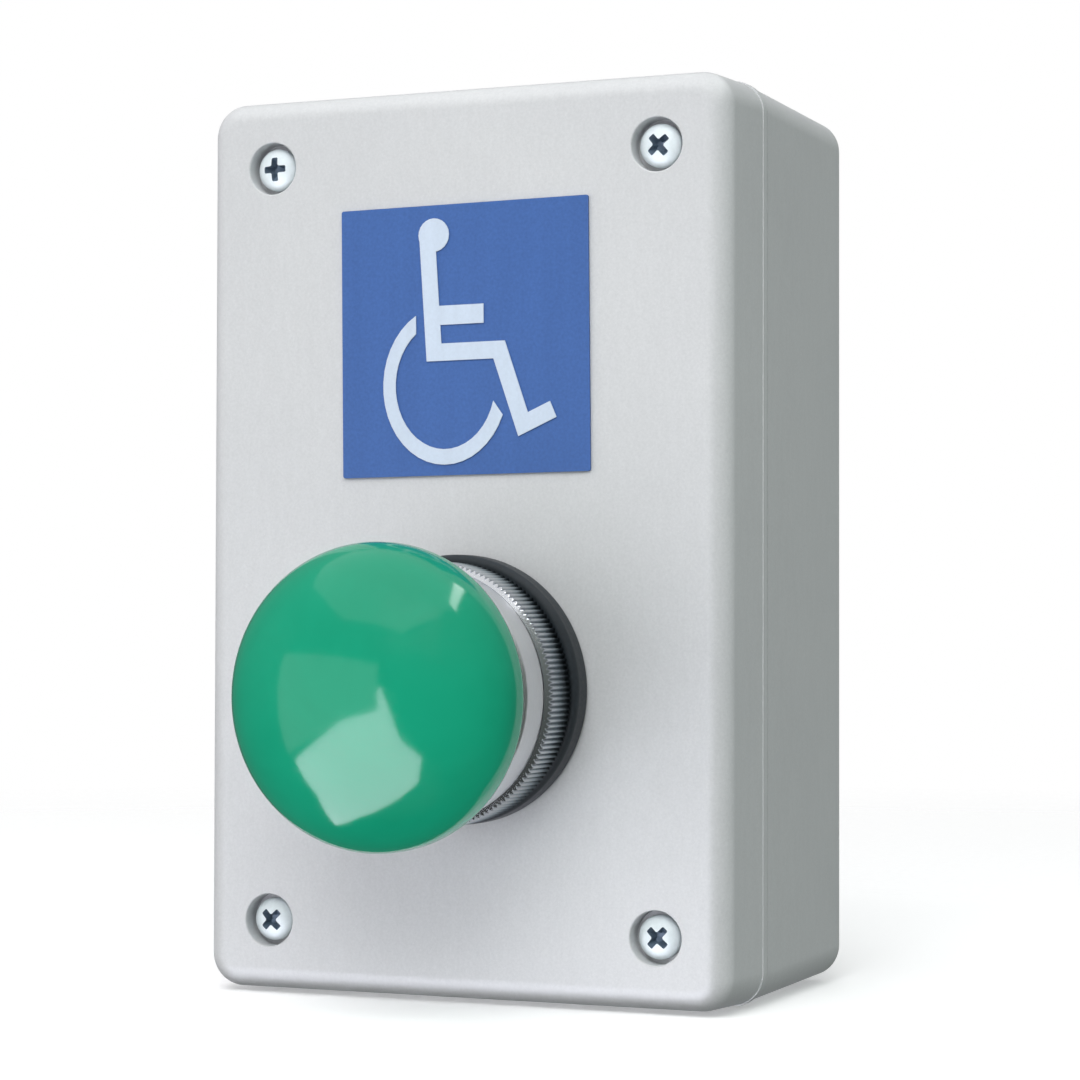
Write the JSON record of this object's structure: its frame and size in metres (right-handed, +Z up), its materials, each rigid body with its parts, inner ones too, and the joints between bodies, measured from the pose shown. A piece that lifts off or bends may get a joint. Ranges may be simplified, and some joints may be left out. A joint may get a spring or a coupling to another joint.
{
  "type": "push button station",
  "caption": "Wall-mounted door push-button station: light-grey die-cast case, blue label with a wheelchair-user pictogram and a large green mushroom button on a knurled ring.",
  "frame": {"origin": "centre of the case's flat back face, which lies on the wall", "axes": "+Z up, +Y into the wall, -Y out of the front towards the person, +X to the right as seen from the front"},
  "size_m": [0.0792, 0.087, 0.1258],
  "materials": {
    "grey_paint": "satin, fine-grained light grey",
    "black_rubber": "matte",
    "zinc": "bright zinc plate",
    "brass": "bright",
    "label_blue": "printed film",
    "label_white": "printed film",
    "green_plastic": "glossy moulded",
    "grey_plastic": "moulded",
    "steel": "spring steel",
    "satin_chrome": "satin plated",
    "chrome": "bright plated",
    "black_plastic": "moulded",
    "white_plastic": "moulded",
    "amber_plastic": "moulded",
    "silver_contact": "silver-plated strip"
  },
  "bodies": {
    "case": {"bezel": "satin_chrome", "block_screw_lower": "zinc", "block_screw_upper": "zinc", "cable_grommet": "black_rubber", "contact_cover": "amber_plastic", "contact_housing": "black_plastic", "contact_spring": "steel", "cover_screw_bottom_left": "zinc", "cover_screw_bottom_right": "zinc", "cover_screw_top_left": "zinc", "cover_screw_top_right": "zinc", "cover_seal": "black_rubber", "earth_screw": "brass", "earth_washer": "brass", "fixed_contact_left": "brass", "fixed_contact_right": "brass", "front_cover": "grey_paint", "guide_bush": "white_plastic", "label_figure": "label_white", "label_plate": "label_blue", "label_wheel": "label_white", "mounting_ring": "chrome", "operator_body": "black_plastic", "panel_gasket": "black_rubber", "rear_box": "grey_paint", "return_spring": "steel", "stem_seal": "black_rubber", "terminal_clamp_left": "zinc", "terminal_clamp_right": "zinc", "terminal_screw_left": "zinc", "terminal_screw_right": "zinc", "trim_washer": "black_rubber"},
    "button": {"mushroom_head": "green_plastic", "plunger_stem": "grey_plastic", "retaining_clip": "steel"},
    "contact_slider": {"contact_plunger": "white_plastic", "contact_bridge": "silver_contact"}
  },
  "joints": [
    {"name": "button_press", "type": "slide", "parent": "case", "child": "button", "axis": [0, 1, 0], "range_m": [0, 0.0045], "stiffness_N_per_m": 1000, "springref_m": -0.005, "deforming": ["return_spring"]},
    {"name": "contact_press", "type": "slide", "parent": "case", "child": "contact_slider", "axis": [0, 1, 0], "range_m": [0, 0.0045], "stiffness_N_per_m": 200, "springref_m": -0.004, "deforming": ["contact_spring"]}
  ],
  "couplings": [
    {"joint": "contact_press", "follows": "button_press", "ratio": 1}
  ]
}
